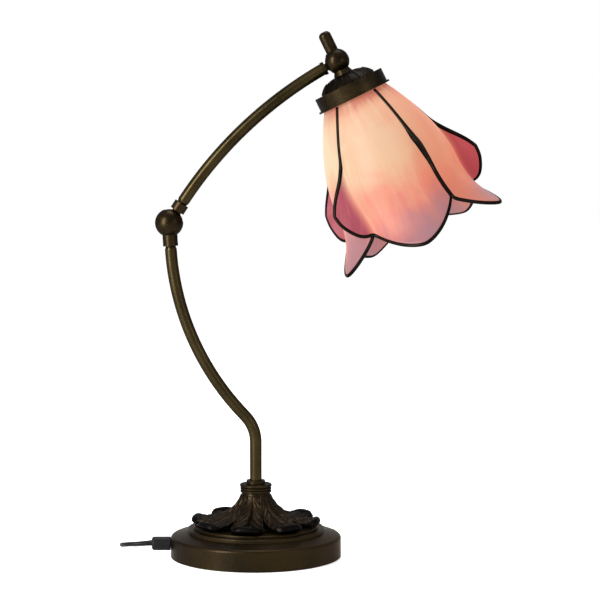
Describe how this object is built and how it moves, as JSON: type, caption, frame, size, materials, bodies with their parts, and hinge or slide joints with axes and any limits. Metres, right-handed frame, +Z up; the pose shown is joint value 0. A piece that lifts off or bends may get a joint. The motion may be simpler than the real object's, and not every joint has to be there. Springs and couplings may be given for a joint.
{
  "type": "table lamp",
  "caption": "Table lamp with a jointed bent-tube arm on a round weighted base with a leaf crown, and a leaded-glass flower shade that tilts over the table.",
  "frame": {"origin": "on the table under the middle of the round base", "axes": "+Z up, +X towards the shade, the arm in the XZ plane, the cord leaving the base towards -X"},
  "size_m": [0.3435, 0.2531, 0.4666],
  "materials": {
    "antique_bronze": "satin",
    "worn_bronze": "satin",
    "zinc_steel": "satin",
    "iron": "rough",
    "felt": "matte",
    "washer_nylon": "matte",
    "black_plastic": "satin",
    "rocker_plastic": "gloss",
    "contact_brass": "bright",
    "cap_aluminium": "bright",
    "bulb_glass": "frosted",
    "petal_glass": "streaky opalescent",
    "lead_came": "black patina",
    "black_cord": "satin",
    "blade_brass": "bright"
  },
  "bodies": {
    "base": {"base_shell": "antique_bronze", "leaf_crown": "antique_bronze", "neck_collar": "antique_bronze", "tube_foot_ring": "antique_bronze", "lower_tube": "antique_bronze", "elbow_ball": "antique_bronze", "base_washer": "zinc_steel", "base_nut": "zinc_steel", "elbow_screw": "zinc_steel", "cover_screws": "zinc_steel", "bottom_cover": "zinc_steel", "bush_locknut": "zinc_steel", "ballast_disc": "iron", "felt_pad": "felt", "elbow_washers": "washer_nylon", "cord_bush": "black_plastic", "switch_lower_shell": "black_plastic", "switch_upper_shell": "black_plastic", "plug_body": "black_plastic", "coil_tie": "black_plastic", "cord_lead": "black_cord", "cord_link": "black_cord", "cord_coil": "black_cord", "cord_tail": "black_cord", "lower_flex": "black_cord", "plug_blades": "blade_brass"},
    "upper_arm": {"elbow_tongue": "antique_bronze", "upper_tube": "antique_bronze", "head_tongue": "worn_bronze", "upper_flex": "black_cord"},
    "head": {"head_ball": "antique_bronze", "head_screw": "zinc_steel", "head_washers": "washer_nylon", "tilt_handle": "antique_bronze", "head_nipple": "zinc_steel", "vent_dome": "antique_bronze", "collar_band": "antique_bronze", "shade_spider": "zinc_steel", "spider_locknut": "zinc_steel", "lampholder_cap": "black_plastic", "lampholder_body": "black_plastic", "lampholder_contact": "contact_brass", "bulb_cap": "cap_aluminium", "bulb_glass": "bulb_glass", "petal_1": "petal_glass", "petal_2": "petal_glass", "petal_3": "petal_glass", "petal_4": "petal_glass", "petal_5": "petal_glass", "petal_lead_1": "lead_came", "petal_lead_2": "lead_came", "petal_lead_3": "lead_came", "petal_lead_4": "lead_came", "petal_lead_5": "lead_came"},
    "rocker": {"switch_rocker": "rocker_plastic"}
  },
  "joints": [
    {"name": "elbow_tilt", "type": "hinge", "parent": "base", "child": "upper_arm", "pos_m": [-0.07622, 0, 0.29834], "axis": [0, 1, 0], "range_deg": [-30, 30]},
    {"name": "head_tilt", "type": "hinge", "parent": "upper_arm", "child": "head", "pos_m": [0.07185, 0, 0.44046], "axis": [0, 1, 0], "range_deg": [-30, 15]},
    {"name": "switch_rock", "type": "hinge", "parent": "base", "child": "rocker", "pos_m": [-0.04837, 0.0757, 0.0082], "axis": [-0.4617, 0.887, 0], "range_deg": [-18, 0]}
  ]
}
